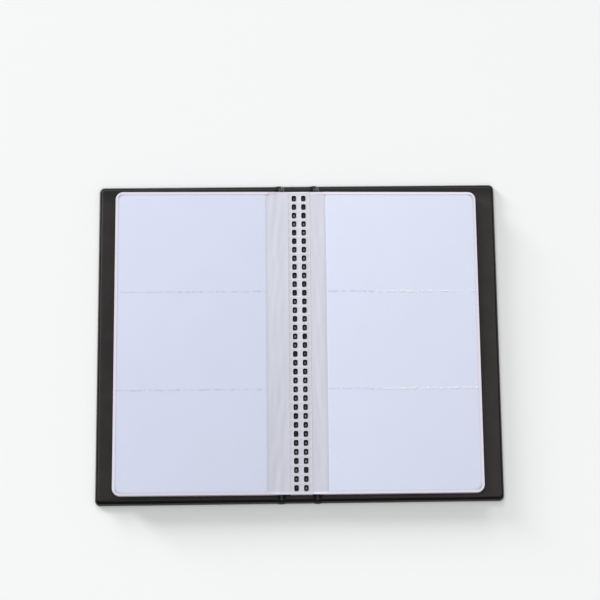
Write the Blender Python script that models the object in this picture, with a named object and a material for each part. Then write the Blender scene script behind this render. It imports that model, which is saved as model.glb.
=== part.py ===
"""A business card book lying open: a welded vinyl cover, with clear card-pocket leaves bound to its spine.

X runs across the two pages, Y up the page and Z up from the table. The origin is on the underside of the
spine, in the middle of the book. Left is the front cover's side, right is the back cover's side.
"""

import math

import bmesh
import bpy

MM = 0.001

# Cover: the case that is welded from a grained skin, three boards and a smooth liner.
COVER_HEIGHT = 192.0 * MM
PANEL_WIDTH = 108.6 * MM
SPINE_WIDTH = 21.0 * MM
COVER_CORNER_RADIUS = 3.0 * MM
SKIN_THICKNESS = 0.6 * MM
BOARD_THICKNESS = 1.6 * MM
LINER_THICKNESS = 0.4 * MM
RIM_WIDTH = 1.3 * MM
RIM_HEIGHT = 2.1 * MM
WELD_GROOVE_WIDTH = 0.7 * MM
HINGE_WEB_WIDTH = 1.4 * MM
HINGE_WEB_RECESS = 0.1 * MM

# Leaves: three welded layers each, in a stack on either side of the spine.
LEAVES_PER_SIDE = 10
LEAF_HEIGHT = 183.0 * MM
LEAF_CORNER_RADIUS = 4.5 * MM
SHEET_HALF_WIDTH = 108.0 * MM
SHEET_OFFSET = -0.75 * MM
GUTTER_HALF_WIDTH = 18.0 * MM
POCKET_LIP = 1.5 * MM
EDGE_SEAM = 1.2 * MM
FILM_THICKNESS = 0.10 * MM
WHITE_THICKNESS = 0.12 * MM

# Binding strip: the leaves' gathered margins, squeezed onto the spine by two rows of spot welds.
STRIP_HALF_WIDTH = 6.5 * MM
STRIP_SHOULDER_WIDTH = 0.6 * MM
STRIP_SHOULDER_HEIGHT = 3.2 * MM
STRIP_FLOOR_HEIGHT = 1.8 * MM
WELD_OFFSET = 1.05 * MM
WELD_ROW_SPACING = 5.7 * MM
WELD_PITCH = 5.3 * MM
WELDS_PER_ROW = 34
WELD_WIDTH = 2.5 * MM
WELD_LENGTH = 3.1 * MM
WELD_CORNER = 0.8 * MM
WELD_DEPTH = 0.7 * MM

# Clearances between neighbours.
BOARD_CLEARANCE = 0.3 * MM
WEB_CLEARANCE = 0.3 * MM
LAYER_GAP = 0.1 * MM
SEAT_GAP = 0.15 * MM
LEAF_GAP = 0.12 * MM
POCKET_GAP = 0.04 * MM
STRIP_CLEARANCE = 0.3 * MM
FOLD_CLEARANCE = 0.3 * MM
CLOSED_CLEARANCE = 0.85 * MM
CUT_MARGIN = 1.0 * MM

ARC_STEPS = 6
WELD_ARC_STEPS = 1

# Heights, from the table up.
BOARD_BOTTOM = SKIN_THICKNESS + LAYER_GAP
LINER_BOTTOM = BOARD_BOTTOM + BOARD_THICKNESS + LAYER_GAP
COVER_THICKNESS = LINER_BOTTOM + LINER_THICKNESS
LEAF_THICKNESS = 2 * FILM_THICKNESS + WHITE_THICKNESS + 2 * POCKET_GAP
LEAF_PITCH = LEAF_THICKNESS + LEAF_GAP
STACK_BOTTOM = COVER_THICKNESS + SEAT_GAP
STACK_TOP = STACK_BOTTOM + LEAVES_PER_SIDE * LEAF_PITCH - LEAF_GAP

# Hinge lines. A cover folds in the middle of its skin, so its boards stand back from the line by their own
# height.
HINGE_X = SPINE_WIDTH / 2
HINGE_Z = SKIN_THICKNESS / 2
SKIN_SETBACK = HINGE_WEB_WIDTH / 2 + WEB_CLEARANCE
FOLD_SETBACK = COVER_THICKNESS - HINGE_Z + FOLD_CLEARANCE

# A leaf turns about a line half a gap above the stack, which lands it on the leaves of the other side. The whole
# stack lifts with its cover about a line level with the top of the binding strip. Both lines stand off the cover's
# hinge by what the closed stack and the closed cover take up.
LEAF_AXIS_Z = STACK_TOP + LEAF_GAP / 2
LIFT_AXIS_Z = STACK_BOTTOM + STRIP_SHOULDER_HEIGHT
CLOSED_REACH = HINGE_X - (COVER_THICKNESS - HINGE_Z) + STACK_BOTTOM - CLOSED_CLEARANCE
LEAF_AXIS_X = CLOSED_REACH - LEAF_AXIS_Z
LIFT_AXIS_X = CLOSED_REACH - LIFT_AXIS_Z

SIDES = {"left": -1, "right": 1}
COVERS = {"left": "front_cover", "right": "back_cover"}


def clear_scene():
    for obj in list(bpy.data.objects):
        bpy.data.objects.remove(obj)


def new_collection(name):
    collection = bpy.data.collections.new(name)
    bpy.context.scene.collection.children.link(collection)
    return collection


def new_material(name, colour, roughness, alpha=1.0):
    material = bpy.data.materials.new(name)
    material.use_nodes = True
    shader = material.node_tree.nodes["Principled BSDF"]
    shader.inputs["Base Color"].default_value = (*colour, 1.0)
    shader.inputs["Roughness"].default_value = roughness
    shader.inputs["Metallic"].default_value = 0.0
    shader.inputs["Alpha"].default_value = alpha
    return material


def side_span(side, inner, outer):
    """Low and high X of what reaches from inner to outer on one side of the middle."""
    return tuple(sorted((side * inner, side * outer)))


def outer_corners(side, radius):
    """Corner radii, anticlockwise from low X and low Y, that round only the edge away from the spine."""
    return (radius, 0, 0, radius) if side < 0 else (0, radius, radius, 0)


def rounded_rectangle(x_span, y_span, radii, arc_steps=ARC_STEPS):
    """Outline points, anticlockwise from low X and low Y, with a radius for each corner."""
    x_low, x_high = x_span
    y_low, y_high = y_span
    corners = ((x_low, y_low, 1, 1), (x_high, y_low, -1, 1), (x_high, y_high, -1, -1), (x_low, y_high, 1, -1))
    points = []
    for turn, ((x, y, inward_x, inward_y), radius) in enumerate(zip(corners, radii)):
        if radius <= 0:
            points.append((x, y))
            continue
        for step in range(arc_steps + 1):
            angle = math.pi + (turn + step / arc_steps) * math.pi / 2
            centre_x = x + inward_x * radius
            centre_y = y + inward_y * radius
            points.append((centre_x + radius * math.cos(angle), centre_y + radius * math.sin(angle)))
    return points


def outline_plate(name, outlines, z_span, collection):
    """A flat plate, or several in one object, with the given outlines."""
    z_low, z_high = z_span
    curve = bpy.data.curves.new(name, "CURVE")
    curve.dimensions = "2D"
    curve.fill_mode = "BOTH"
    curve.extrude = (z_high - z_low) / 2
    for outline in outlines:
        spline = curve.splines.new("POLY")
        spline.points.add(len(outline) - 1)
        for point, (x, y) in zip(spline.points, outline):
            point.co = (x, y, 0, 1)
        spline.use_cyclic_u = True
    plate = bpy.data.objects.new(name, curve)
    plate.location.z = (z_low + z_high) / 2
    collection.objects.link(plate)
    return plate


def as_mesh(curve_object, collection):
    """Replaces a curve object by a mesh object of the same shape, with its caps welded to its sides."""
    bpy.context.view_layer.update()
    graph = bpy.context.evaluated_depsgraph_get()
    mesh = bpy.data.meshes.new_from_object(curve_object.evaluated_get(graph))
    shape = bmesh.new()
    shape.from_mesh(mesh)
    bmesh.ops.remove_doubles(shape, verts=shape.verts, dist=0.001 * MM)
    bmesh.ops.recalc_face_normals(shape, faces=shape.faces)
    shape.to_mesh(mesh)
    shape.free()
    name = curve_object.name
    place = curve_object.matrix_world.copy()
    bpy.data.objects.remove(curve_object)
    made = bpy.data.objects.new(name, mesh)
    made.matrix_world = place
    collection.objects.link(made)
    return made


def cut(piece, outlines, z_span):
    """Takes the prisms of these outlines out of a mesh piece."""
    name = f"{piece.name}_cutter_{len(piece.modifiers) + 1}"
    cutter = as_mesh(outline_plate(name, outlines, z_span, cutters), cutters)
    cutter.hide_render = True
    cutter.display_type = "WIRE"
    boolean = piece.modifiers.new(cutter.name, "BOOLEAN")
    boolean.operation = "DIFFERENCE"
    boolean.solver = "EXACT"
    boolean.object = cutter


def attach(piece, pivot):
    """Hangs a piece on its pivot and keeps it where it stands."""
    bpy.context.view_layer.update()
    piece.parent = pivot
    piece.matrix_parent_inverse = pivot.matrix_world.inverted()


def new_pivot(name, x, z, parent=None):
    """An empty on a joint's axis, which runs along Y."""
    pivot = bpy.data.objects.new(name, None)
    pivot.location = (x, 0, z)
    parts.objects.link(pivot)
    if parent:
        attach(pivot, parent)
    return pivot


def finished(piece, material, pivot):
    piece.data.materials.append(material)
    attach(piece, pivot)
    return piece


def half_height_span(half_height):
    return (-half_height, half_height)


def cover_skin(name, x_span, fold_spans, rim_span, radii, pivot):
    """The grained outer sheet of one panel, with the bead that the edge weld raises around it.

    The bead stops short of each hinge line by the fold's own room.
    """
    outline = rounded_rectangle(x_span, half_height_span(COVER_HEIGHT / 2), radii)
    skin = as_mesh(outline_plate(name, [outline], (0, RIM_HEIGHT), parts), parts)
    above = (SKIN_THICKNESS, RIM_HEIGHT + CUT_MARGIN)
    inner_radii = [max(0, radius - RIM_WIDTH) for radius in radii]
    inside = half_height_span(COVER_HEIGHT / 2 - RIM_WIDTH)
    cut(skin, [rounded_rectangle(rim_span, inside, inner_radii)], above)
    past_edge = half_height_span(COVER_HEIGHT / 2 + CUT_MARGIN)
    for fold_span in fold_spans:
        cut(skin, [rounded_rectangle(fold_span, past_edge, (0, 0, 0, 0))], above)
    return finished(skin, vinyl_skin, pivot)


def cover_layers(name, x_span, edge_clear, radii, pivot):
    """The board of one panel and the liner over it, inside the bead of its skin."""
    layers = (
        ("board", BOARD_CLEARANCE, (BOARD_BOTTOM, BOARD_BOTTOM + BOARD_THICKNESS), grey_board),
        ("liner", WELD_GROOVE_WIDTH, (LINER_BOTTOM, COVER_THICKNESS), vinyl_liner),
    )
    for layer, clearance, z_span, material in layers:
        low, high = (x + clearance * clear for x, clear in zip(x_span, edge_clear))
        y_span = half_height_span(COVER_HEIGHT / 2 - RIM_WIDTH - clearance)
        layer_radii = [max(0, radius - RIM_WIDTH - clearance) for radius in radii]
        outline = rounded_rectangle((low, high), y_span, layer_radii)
        finished(outline_plate(f"{name}_{layer}", [outline], z_span, parts), material, pivot)


def build_spine(pivot):
    skin_half = HINGE_X - SKIN_SETBACK
    board_half = HINGE_X - FOLD_SETBACK
    square = (0, 0, 0, 0)
    folds = [side_span(side, board_half, HINGE_X + CUT_MARGIN) for side in SIDES.values()]
    across = half_height_span(HINGE_X + CUT_MARGIN)
    cover_skin("spine_skin", half_height_span(skin_half), folds, across, square, pivot)
    cover_layers("spine", half_height_span(board_half), (0, 0), square, pivot)


def build_cover(side_name, pivot):
    side = SIDES[side_name]
    name = COVERS[side_name]
    outer = HINGE_X + PANEL_WIDTH
    board_inner = HINGE_X + FOLD_SETBACK
    radii = outer_corners(side, COVER_CORNER_RADIUS)
    skin_span = side_span(side, HINGE_X + SKIN_SETBACK, outer)
    fold_span = side_span(side, HINGE_X - CUT_MARGIN, board_inner)
    rim_span = side_span(side, HINGE_X - CUT_MARGIN, outer - RIM_WIDTH)
    cover_skin(f"{name}_skin", skin_span, [fold_span], rim_span, radii, pivot)
    edge_clear = (1, 0) if side < 0 else (0, -1)
    cover_layers(name, side_span(side, board_inner, outer - RIM_WIDTH), edge_clear, radii, pivot)


def build_hinge_web(side_name, pivot):
    """The line along which skin and liner are fused, thinner than the skin, so that the cover folds there."""
    span = side_span(SIDES[side_name], HINGE_X - HINGE_WEB_WIDTH / 2, HINGE_X + HINGE_WEB_WIDTH / 2)
    outline = rounded_rectangle(span, half_height_span(COVER_HEIGHT / 2), (0, 0, 0, 0))
    z_span = (HINGE_WEB_RECESS, SKIN_THICKNESS - HINGE_WEB_RECESS)
    name = COVERS[side_name].replace("cover", "hinge_web")
    finished(outline_plate(name, [outline], z_span, parts), vinyl_skin, pivot)


def build_binding_strip(pivot):
    """A saddle of gathered film, with high shoulders beside the leaves.

    Two rows of weld dimples are pressed into the squeezed floor between the shoulders.
    """
    floor_half = WELD_ROW_SPACING / 2 + WELD_WIDTH / 2 + WELD_CORNER / 2
    shoulder_half = STRIP_HALF_WIDTH - STRIP_SHOULDER_WIDTH
    section = [
        (-STRIP_HALF_WIDTH, 0),
        (STRIP_HALF_WIDTH, 0),
        (STRIP_HALF_WIDTH, STRIP_SHOULDER_HEIGHT),
        (shoulder_half, STRIP_SHOULDER_HEIGHT),
        (floor_half, STRIP_FLOOR_HEIGHT),
        (-floor_half, STRIP_FLOOR_HEIGHT),
        (-shoulder_half, STRIP_SHOULDER_HEIGHT),
        (-STRIP_HALF_WIDTH, STRIP_SHOULDER_HEIGHT),
    ]
    profile = outline_plate("binding_strip", [section], half_height_span(LEAF_HEIGHT / 2), parts)
    profile.rotation_euler.x = math.pi / 2
    profile.location = (WELD_OFFSET, 0, STACK_BOTTOM)
    strip = as_mesh(profile, parts)
    welds = []
    for row in SIDES.values():
        for number in range(WELDS_PER_ROW):
            x = WELD_OFFSET + row * WELD_ROW_SPACING / 2
            y = (number - (WELDS_PER_ROW - 1) / 2) * WELD_PITCH
            x_span = (x - WELD_WIDTH / 2, x + WELD_WIDTH / 2)
            y_span = (y - WELD_LENGTH / 2, y + WELD_LENGTH / 2)
            welds.append(rounded_rectangle(x_span, y_span, [WELD_CORNER] * 4, WELD_ARC_STEPS))
    floor = STACK_BOTTOM + STRIP_FLOOR_HEIGHT
    cut(strip, welds, (floor - WELD_DEPTH, floor + CUT_MARGIN))
    return finished(strip, welded_film, pivot)


def leaf_plate(name, side, inner, outer, inset, z_span, material, pivot):
    """One flat layer of a leaf, set in from the leaf's edge by inset.

    Inner and outer are distances from the middle of the book.
    """
    x_span = side_span(side, inner, outer - inset)
    radii = outer_corners(side, LEAF_CORNER_RADIUS - inset)
    outline = rounded_rectangle(x_span, half_height_span(LEAF_HEIGHT / 2 - inset), radii)
    finished(outline_plate(name, [outline], z_span, parts), material, pivot)


def build_top_leaf(name, side, root, outer, bottom, pivot):
    """The leaf that shows, as its layers: a clear rear film, the white sheet, and the film of the pockets."""
    white_inner = GUTTER_HALF_WIDTH + side * SHEET_OFFSET
    white_bottom = bottom + FILM_THICKNESS + POCKET_GAP
    front_bottom = white_bottom + WHITE_THICKNESS + POCKET_GAP
    layers = (
        ("rear_film", root, 0, bottom, FILM_THICKNESS, clear_film),
        ("white_sheet", white_inner, EDGE_SEAM, white_bottom, WHITE_THICKNESS, white_film),
        ("front_film", white_inner - POCKET_LIP, 0, front_bottom, FILM_THICKNESS, clear_film),
    )
    for layer, inner, inset, z_low, thickness, material in layers:
        leaf_plate(f"{name}_{layer}", side, inner, outer, inset, (z_low, z_low + thickness), material, pivot)


def build_leaves(side_name, spine_pivot):
    """The stack on one side, lowest leaf first: each leaf's pivot hangs on that of the leaf under it."""
    side = SIDES[side_name]
    outer = SHEET_HALF_WIDTH + side * SHEET_OFFSET
    root = STRIP_HALF_WIDTH + side * WELD_OFFSET + STRIP_CLEARANCE
    axis_x, axis_z = LIFT_AXIS_X, LIFT_AXIS_Z
    pivot = spine_pivot
    for number in range(LEAVES_PER_SIDE, 0, -1):
        name = f"{side_name}_leaf_{number:02d}"
        bottom = STACK_TOP - LEAF_THICKNESS - (number - 1) * LEAF_PITCH
        pivot = new_pivot(f"{name}_pivot", side * axis_x, axis_z, pivot)
        axis_x, axis_z = LEAF_AXIS_X, LEAF_AXIS_Z
        if number > 1:
            leaf_plate(name, side, root, outer, 0, (bottom, bottom + LEAF_THICKNESS), white_leaf, pivot)
        else:
            build_top_leaf(name, side, root, outer, bottom, pivot)


clear_scene()
parts = new_collection("business_card_book")
cutters = new_collection("cutters")

vinyl_skin = new_material("black_grained_vinyl", (0.026, 0.024, 0.023), 0.55)
vinyl_liner = new_material("black_smooth_vinyl", (0.030, 0.027, 0.027), 0.45)
grey_board = new_material("grey_board", (0.26, 0.25, 0.23), 0.9)
clear_film = new_material("clear_film", (0.85, 0.87, 0.92), 0.15, 0.3)
welded_film = new_material("welded_film", (0.64, 0.65, 0.72), 0.3)
white_film = new_material("white_film", (0.68, 0.72, 0.88), 0.4)
white_leaf = new_material("white_leaf", (0.68, 0.72, 0.88), 0.35)

spine = new_pivot("spine_pivot", 0, 0)
build_spine(spine)
build_binding_strip(spine)
for book_side in SIDES:
    build_hinge_web(book_side, spine)
    hinge = new_pivot(f"{COVERS[book_side]}_pivot", SIDES[book_side] * HINGE_X, HINGE_Z, spine)
    build_cover(book_side, hinge)
    build_leaves(book_side, spine)
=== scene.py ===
"""The looks of an open business card book: welded vinyl cover, clear pocket leaves, spot-welded gutter."""

import math

import bmesh
import bpy
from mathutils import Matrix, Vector, noise


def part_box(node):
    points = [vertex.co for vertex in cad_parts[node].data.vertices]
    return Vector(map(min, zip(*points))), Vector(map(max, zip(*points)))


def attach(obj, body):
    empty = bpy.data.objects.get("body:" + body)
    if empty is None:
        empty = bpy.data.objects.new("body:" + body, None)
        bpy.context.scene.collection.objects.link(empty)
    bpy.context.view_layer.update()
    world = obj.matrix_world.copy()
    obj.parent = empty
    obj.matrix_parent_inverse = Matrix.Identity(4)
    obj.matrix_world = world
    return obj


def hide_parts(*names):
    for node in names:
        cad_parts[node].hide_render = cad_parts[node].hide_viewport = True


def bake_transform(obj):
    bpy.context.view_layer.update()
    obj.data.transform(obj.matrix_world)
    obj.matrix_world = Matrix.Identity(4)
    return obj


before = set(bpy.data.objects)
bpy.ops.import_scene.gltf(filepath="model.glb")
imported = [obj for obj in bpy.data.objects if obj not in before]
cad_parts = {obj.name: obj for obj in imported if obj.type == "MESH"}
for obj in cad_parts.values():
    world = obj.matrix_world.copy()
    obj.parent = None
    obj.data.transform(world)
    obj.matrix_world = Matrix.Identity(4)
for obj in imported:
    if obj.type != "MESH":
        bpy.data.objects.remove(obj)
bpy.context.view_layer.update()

# Cover skin. The outside of the case is one sheet of soft black PVC with a pressed leather grain. The weld
# that joins it to the lining squeezes out a round bead beyond a groove, wider and deeper towards the tail.
# The sheet is cut here at the two hinges into front, spine and back, as each of them moves.
MM = 0.001
CUT_TOLERANCE = 0.0005
CUT_MARGIN = 1.0
SAME_HEIGHT = 0.001
FACING_DOWN = -0.9
CORNER_SEGMENTS = 8
COVER_CORNER = 3.0
EDGE_WALL_LOW = 0.45
EDGE_WALL_HIGH = 0.75
UNDER_EDGE = ((0.05, 0.27), (0.10, 0.10), (0.20, 0.08), (0.60, 0.0))
WELD_BEAD = ((0.12, 0.50), (0.22, 0.42), (0.28, 0.24), (0.24, 0.06), (0.14, -0.20), (0.06, -1.00))
GROOVE_FLOOR = EDGE_WALL_HIGH + sum(rise for _, rise in WELD_BEAD)
GROOVE_WIDTH = 0.25
TAIL_GROOVE_EXTRA = 1.0
HEAD_GROOVE_FILL = 1.0
SKIN_TRAY = ((0.05, -0.15), (0.60, 0.0))
COVER_HEAD_REACH = 0.50
COVER_TAIL_SKEW = 0.45
HINGE_HALF_WIDTH = 2.9


def node_box(name):
    """A node's lowest and highest corners in millimetres, the unit that every mesh here is modelled in."""
    low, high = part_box(name)
    return low / MM, high / MM


def rounded_sheet(low, high, radius, z):
    """A level face with four round corners."""
    sheet = bmesh.new()
    bmesh.ops.create_grid(sheet, x_segments=1, y_segments=1, size=0.5)
    bmesh.ops.scale(sheet, verts=sheet.verts, vec=(high[0] - low[0], high[1] - low[1], 1))
    bmesh.ops.translate(sheet, verts=sheet.verts, vec=((low[0] + high[0]) / 2, (low[1] + high[1]) / 2, z))
    bmesh.ops.bevel(
        sheet, geom=sheet.verts[:], offset=radius, segments=CORNER_SEGMENTS, profile=0.5,
        affect="VERTICES", material=-1,
    )
    return sheet


def raise_sheet(sheet, height):
    """Makes a level sheet a closed block, and returns its bottom and top faces."""
    raised = bmesh.ops.extrude_face_region(sheet, geom=sheet.faces[:])["geom"]
    corners = [item for item in raised if isinstance(item, bmesh.types.BMVert)]
    bmesh.ops.translate(sheet, verts=corners, vec=(0, 0, height))
    bmesh.ops.recalc_face_normals(sheet, faces=sheet.faces)
    tops = [item for item in raised if isinstance(item, bmesh.types.BMFace)]
    bottoms = [face for face in sheet.faces if face.normal.z < FACING_DOWN]
    return bottoms, tops


def step_in(solid, faces, steps, material=0):
    """Insets faces again and again. A step is a width inwards and a rise along the faces' normal."""
    for width, rise in steps:
        ring = bmesh.ops.inset_region(
            solid, faces=faces, thickness=width, depth=rise, use_boundary=True, use_even_offset=True,
        )
        for face in ring["faces"]:
            face.material_index = material


def cut_loops(shape, places, axis=0):
    """Cuts edges across a shape at each of these places along an axis."""
    normal = [0, 0, 0]
    normal[axis] = 1
    for place in places:
        everything = shape.verts[:] + shape.edges[:] + shape.faces[:]
        point = [place * share for share in normal]
        bmesh.ops.bisect_plane(shape, geom=everything, plane_co=point, plane_no=normal, dist=CUT_TOLERANCE)


def stretch_of(solid, x_low, x_high):
    """A closed copy of the stretch of a solid between two places along X."""
    part = solid.copy()
    for place, direction in ((x_low, -1), (x_high, 1)):
        everything = part.verts[:] + part.edges[:] + part.faces[:]
        cut = bmesh.ops.bisect_plane(
            part, geom=everything, plane_co=(place, 0, 0), plane_no=(direction, 0, 0), clear_outer=True,
            dist=CUT_TOLERANCE,
        )
        rim = [item for item in cut["geom_cut"] if isinstance(item, bmesh.types.BMEdge)]
        bmesh.ops.edgeloop_fill(part, edges=rim)
    bmesh.ops.recalc_face_normals(part, faces=part.faces)
    return part


def new_piece(name, shape, materials, smooth_angle=40):
    """The finished object of a mesh that was modelled in millimetres. Its place stays in the mesh."""
    bmesh.ops.scale(shape, verts=shape.verts, vec=(MM, MM, MM))
    for face in shape.faces:
        face.smooth = True
    mesh = bpy.data.meshes.new(name)
    shape.to_mesh(mesh)
    shape.free()
    mesh.set_sharp_from_angle(angle=math.radians(smooth_angle))
    for material in materials:
        mesh.materials.append(material)
    piece = bpy.data.objects.new(name, mesh)
    bpy.context.scene.collection.objects.link(piece)
    return piece


def linear(hex_colour):
    """The linear RGBA of an sRGB hex colour."""
    channels = [int(hex_colour[place:place + 2], 16) / 255 for place in (1, 3, 5)]
    return [c / 12.92 if c <= 0.04045 else ((c + 0.055) / 1.055) ** 2.4 for c in channels] + [1.0]


def add_node(material, kind, inputs, **settings):
    """Adds a node with its settings. An input is a value, or the socket of another node to link it to."""
    tree = material.node_tree
    node = tree.nodes.new(kind)
    for name, value in settings.items():
        setattr(node, name, value)
    for name, value in inputs.items():
        if isinstance(value, bpy.types.NodeSocket):
            tree.links.new(value, node.inputs[name])
        else:
            node.inputs[name].default_value = value
    return node


def new_material(name, **constants):
    """A Principled material with its constants set, the shader to link the rest to, and where a point is."""
    material = bpy.data.materials.new(name)
    material.use_nodes = True
    shader = material.node_tree.nodes["Principled BSDF"]
    for socket, value in constants.items():
        shader.inputs[socket.replace("_", " ")].default_value = value
    place = add_node(material, "ShaderNodeTexCoord", {}).outputs["Object"]
    return material, shader, place


def feed(material, shader, **links):
    """Links sockets of a material's shader to the outputs of other nodes."""
    for socket, output in links.items():
        material.node_tree.links.new(output, shader.inputs[socket.replace("_", " ")])


def ease_outline(shape):
    """Lets the head edge of the case reach a little further and sets its tail edge slightly askew."""
    _, high = node_box("back_cover_skin")
    for corner in shape.verts:
        if corner.co.y > 0:
            corner.co.y += COVER_HEAD_REACH
        else:
            corner.co.y += COVER_TAIL_SKEW * corner.co.x / high.x


def case_block(top_steps):
    """A block with the open case's outline and steps inside its rim. Material 1 is the bead, 2 the groove."""
    low, _ = node_box("front_cover_skin")
    _, high = node_box("back_cover_skin")
    block = rounded_sheet(low, high, COVER_CORNER, EDGE_WALL_LOW)
    bottoms, tops = raise_sheet(block, EDGE_WALL_HIGH - EDGE_WALL_LOW)
    step_in(block, bottoms, UNDER_EDGE)
    step_in(block, tops, WELD_BEAD, material=1)
    step_in(block, tops, ((GROOVE_WIDTH, 0.0),), material=2)
    for corner in {corner for face in tops for corner in face.verts}:
        if corner.co.y < 0:
            corner.co.y += TAIL_GROOVE_EXTRA
    step_in(block, tops, top_steps)
    for corner in block.verts:
        if corner.co.y > 0 and abs(corner.co.z - GROOVE_FLOOR) < SAME_HEIGHT:
            corner.co.z += HEAD_GROOVE_FILL
    ease_outline(block)
    return block


# Soft PVC, embossed on a hot roller: satin pebbles about a millimetre across, with narrow valleys.
GRAIN_PEBBLE = 1.1
GRAIN_DEPTH = 0.05
SCUFF_PATCH = 14.0
embossed_vinyl, shader, place = new_material("embossed_black_vinyl", IOR=1.52, Specular_IOR_Level=0.4)
pebbles = add_node(
    embossed_vinyl, "ShaderNodeTexVoronoi",
    {"Vector": place, "Scale": 1 / (GRAIN_PEBBLE * MM), "Randomness": 0.9}, feature="DISTANCE_TO_EDGE",
).outputs["Distance"]
scuffs = add_node(
    embossed_vinyl, "ShaderNodeTexNoise", {"Vector": place, "Scale": 1 / (SCUFF_PATCH * MM), "Detail": 4.0},
).outputs["Fac"]
pebble_tone = add_node(
    embossed_vinyl, "ShaderNodeMapRange", {"Value": pebbles, "From Min": 0.0, "From Max": 0.18},
).outputs["Result"]
colour = add_node(
    embossed_vinyl, "ShaderNodeMix", {0: pebble_tone, 6: linear("#242222"), 7: linear("#363434")},
    data_type="RGBA",
).outputs[2]
roughness = add_node(
    embossed_vinyl, "ShaderNodeMapRange", {"Value": scuffs, "To Min": 0.40, "To Max": 0.56},
).outputs["Result"]
relief = add_node(
    embossed_vinyl, "ShaderNodeBump", {"Height": pebble_tone, "Strength": 0.7, "Distance": GRAIN_DEPTH * MM},
).outputs["Normal"]
feed(embossed_vinyl, shader, Base_Color=colour, Roughness=roughness, Normal=relief)

# Where the weld has squeezed it out, the vinyl lost its grain: the bead is smooth, flowed and shiny.
BEAD_FLOW = 6.0
bead_vinyl, shader, place = new_material("welded_vinyl_bead", IOR=1.52, Specular_IOR_Level=0.5)
flow = add_node(
    bead_vinyl, "ShaderNodeTexNoise", {"Vector": place, "Scale": 1 / (BEAD_FLOW * MM), "Detail": 3.0},
).outputs["Fac"]
colour = add_node(
    bead_vinyl, "ShaderNodeMix", {0: flow, 6: linear("#1F1D1D"), 7: linear("#373434")}, data_type="RGBA",
).outputs[2]
roughness = add_node(
    bead_vinyl, "ShaderNodeMapRange", {"Value": flow, "To Min": 0.26, "To Max": 0.42},
).outputs["Result"]
feed(bead_vinyl, shader, Base_Color=colour, Roughness=roughness)

# The weld groove is dull, and its colour is painted darker than the grain around it: painted shade in
# the recess.
painted_shade_groove_vinyl, shader, place = new_material(
    "groove_vinyl_painted_shade", IOR=1.52, Roughness=0.8, Specular_IOR_Level=0.06,
)
groove_mottle = add_node(
    painted_shade_groove_vinyl, "ShaderNodeTexNoise", {"Vector": place, "Scale": 1 / (BEAD_FLOW * MM), "Detail": 4.0},
).outputs["Fac"]
# Painted shade: the groove's two tones are darker than the grain's.
colour = add_node(
    painted_shade_groove_vinyl, "ShaderNodeMix", {0: groove_mottle, 6: linear("#1E1C1C"), 7: linear("#32302F")}, data_type="RGBA",
).outputs[2]
feed(painted_shade_groove_vinyl, shader, Base_Color=colour)

_, spine_high = node_box("spine_skin")
front_low, _ = node_box("front_cover_skin")
back_low, back_high = node_box("back_cover_skin")
hinge_x = (spine_high.x + back_low.x) / 2
panels = {
    "front_cover": (front_low.x - CUT_MARGIN, -hinge_x - HINGE_HALF_WIDTH),
    "spine": (-hinge_x + HINGE_HALF_WIDTH, hinge_x - HINGE_HALF_WIDTH),
    "back_cover": (hinge_x + HINGE_HALF_WIDTH, back_high.x + CUT_MARGIN),
}
whole_skin = case_block(SKIN_TRAY)
for body, (x_low, x_high) in panels.items():
    shape = stretch_of(whole_skin, x_low, x_high)
    skin = new_piece(f"{body}_vinyl", shape, [embossed_vinyl, bead_vinyl, painted_shade_groove_vinyl])
    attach(skin, body)
    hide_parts(f"{body}_skin")
whole_skin.free()

# Stiffening boards. Each panel of the case holds a sheet of grey board, pressed from waste paper and cut with
# slightly broken edges. It lies loose between skin and lining and shows nowhere once the case is welded shut.
BOARD_EDGE = 2.85
BOARD_CHAMFER = 0.2


def board_block():
    """The boards of the open case in one piece, before it is cut at the hinges."""
    low, _ = node_box("front_cover_skin")
    _, high = node_box("back_cover_skin")
    board_low, board_high = node_box("spine_board")
    inset = Vector((BOARD_EDGE, BOARD_EDGE, 0))
    block = rounded_sheet(low + inset, high - inset, COVER_CORNER - BOARD_EDGE, board_low.z + BOARD_CHAMFER)
    for faces in raise_sheet(block, board_high.z - board_low.z - 2 * BOARD_CHAMFER):
        step_in(block, faces, ((BOARD_CHAMFER, BOARD_CHAMFER),))
    ease_outline(block)
    return block


FIBRE_LENGTH = 2.0
grey_board, shader, place = new_material("pressed_grey_board", Roughness=0.9)
fibres = add_node(
    grey_board, "ShaderNodeTexNoise", {"Vector": place, "Scale": 1 / (FIBRE_LENGTH * MM), "Detail": 6.0},
).outputs["Fac"]
colour = add_node(
    grey_board, "ShaderNodeMix", {0: fibres, 6: linear("#7E7A72"), 7: linear("#A29D93")}, data_type="RGBA",
).outputs[2]
feed(grey_board, shader, Base_Color=colour)

whole_board = board_block()
for body, (x_low, x_high) in panels.items():
    board = new_piece(f"{body}_stiffener", stretch_of(whole_board, x_low, x_high), [grey_board])
    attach(board, body)
    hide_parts(f"{body}_board")
whole_board.free()

# Lining. A thinner, smoother vinyl covers the inside of each board, wraps over its edge and ends in the weld
# groove. The same weld that raises the bead holds it there.
LINER_WRAP = ((0.05, 1.08), (0.15, 0.40), (0.22, 0.28), (0.30, 0.19), (0.40, 0.08), (0.60, 0.0))
LINER_EDGE = GROOVE_WIDTH + sum(width for width, _ in WELD_BEAD)
LINER_HEM = 0.45
LINER_INNER_WALL = 0.01
LINER_INNER_RIM = 0.60
LINER_UNDERSIDE = 2.40


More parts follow.
